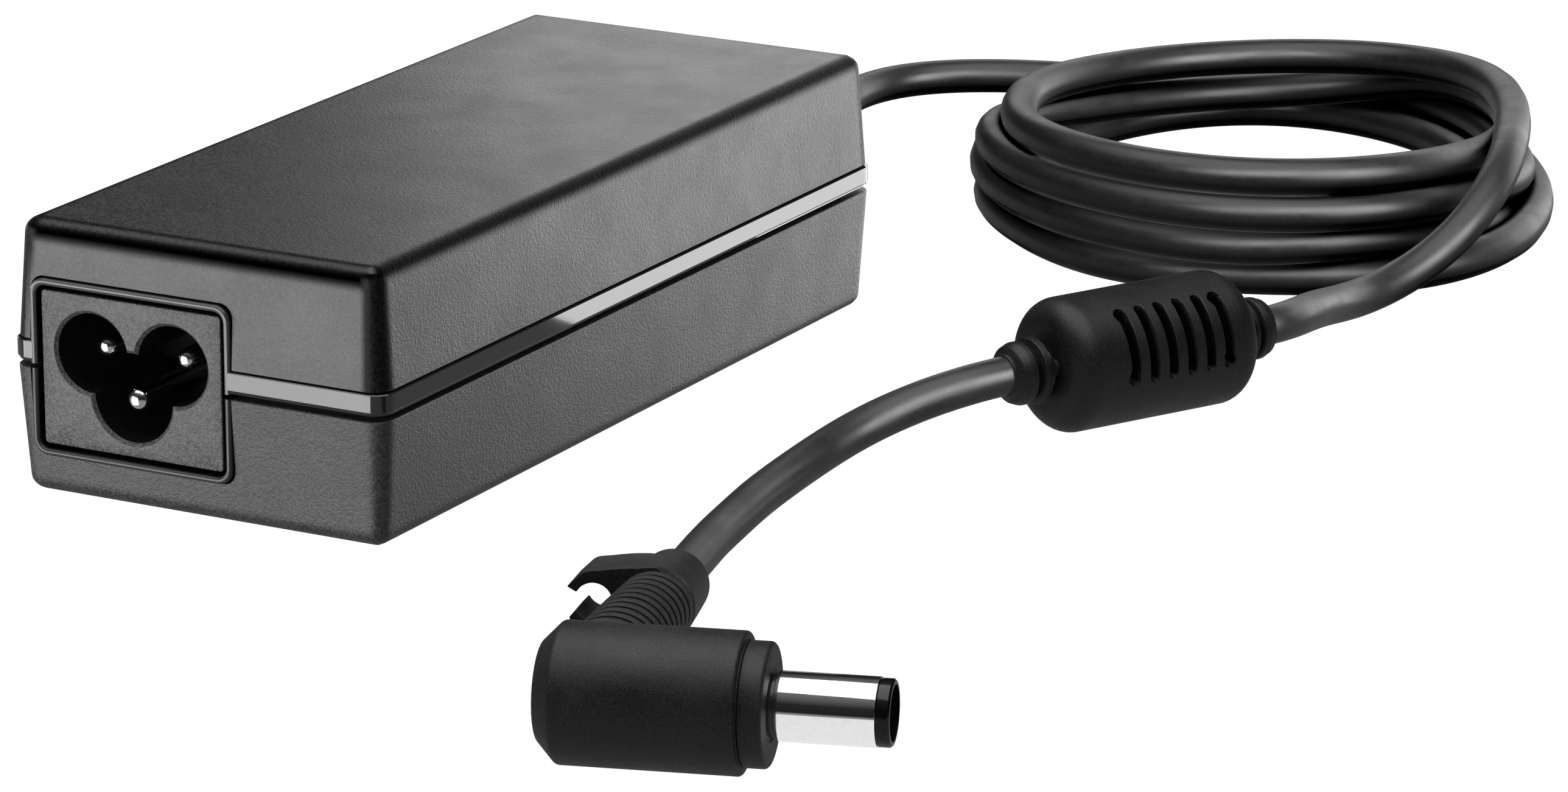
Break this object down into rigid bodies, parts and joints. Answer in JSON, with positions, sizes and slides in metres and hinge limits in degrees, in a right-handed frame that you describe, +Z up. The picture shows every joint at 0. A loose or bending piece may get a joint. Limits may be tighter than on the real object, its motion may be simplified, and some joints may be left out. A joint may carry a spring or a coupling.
{
  "type": "laptop power adapter",
  "caption": "Mains power adapter for a laptop: flat textured case with a three-pole inlet, output lead with a coil and a ferrite bead, and a right-angle barrel plug.",
  "frame": {"origin": "centre of the case's bottom face, on the surface it stands on", "axes": "+Y along the case from the mains inlet towards the output lead's exit, +Z up, +X to the right seen from the inlet's end"},
  "size_m": [0.1252, 0.2676, 0.0299],
  "materials": {
    "case_plastic": "fine spark-textured moulded plastic, dark grey",
    "polished_trim": "polished black strip",
    "inlet_plastic": "coarse-textured black plastic",
    "contact_nickel": "nickel-plated contact, polished",
    "cord_jacket": "satin black flexible PVC",
    "overmould": "matte black moulded rubber",
    "barrel_chrome": "bright plated",
    "tip_plastic": "gloss black insulator",
    "ferrite": "dark grey sintered",
    "board": "green glass-fibre laminate",
    "sheet": "insulating sheet",
    "copper": "copper",
    "aluminium": "bare",
    "device_plastic": "moulded semiconductor case",
    "film_case": "yellow film-capacitor case",
    "disc_coating": "blue dipped coating",
    "can_sleeve": "aluminium can in a dark sleeve",
    "fuse_glass": "ceramic tube",
    "winding_tape": "taped copper winding",
    "lead_red": "red insulated conductor",
    "lead_black": "black insulated conductor"
  },
  "bodies": {
    "root": {"upper_shell": "case_plastic", "lower_shell": "case_plastic", "trim_band": "polished_trim", "inlet_housing": "inlet_plastic", "line_pin": "contact_nickel", "neutral_pin": "contact_nickel", "earth_pin": "contact_nickel", "line_tab": "contact_nickel", "neutral_tab": "contact_nickel", "earth_tab": "contact_nickel", "base_insulator": "sheet", "top_insulator": "sheet", "circuit_board": "board", "controller_chip": "device_plastic", "fuse": "fuse_glass", "x_capacitor": "film_case", "y_capacitor": "disc_coating", "choke_core": "ferrite", "choke_winding": "copper", "bridge_rectifier": "device_plastic", "bulk_capacitor": "can_sleeve", "primary_heat_sink": "aluminium", "secondary_heat_sink": "aluminium", "switching_transistor": "device_plastic", "output_rectifier": "device_plastic", "transformer_core": "ferrite", "transformer_bobbin": "device_plastic", "transformer_winding": "winding_tape", "output_capacitor_a": "can_sleeve", "output_capacitor_b": "can_sleeve", "output_choke": "ferrite", "optocoupler": "device_plastic", "shield_plate": "copper", "positive_lead": "lead_red", "negative_lead": "lead_black", "cord_grommet": "overmould", "cord_exit_run": "cord_jacket", "cord_coil": "cord_jacket", "cord_front_run": "cord_jacket", "ferrite_overmould": "overmould", "ferrite_core": "ferrite", "plug_housing": "overmould", "plug_collar": "overmould", "plug_strain_relief": "overmould", "cord_clip": "overmould", "plug_barrel": "barrel_chrome", "plug_tip": "tip_plastic", "plug_inner_sleeve": "contact_nickel", "plug_centre_pin": "contact_nickel"}
  },
  "joints": []
}
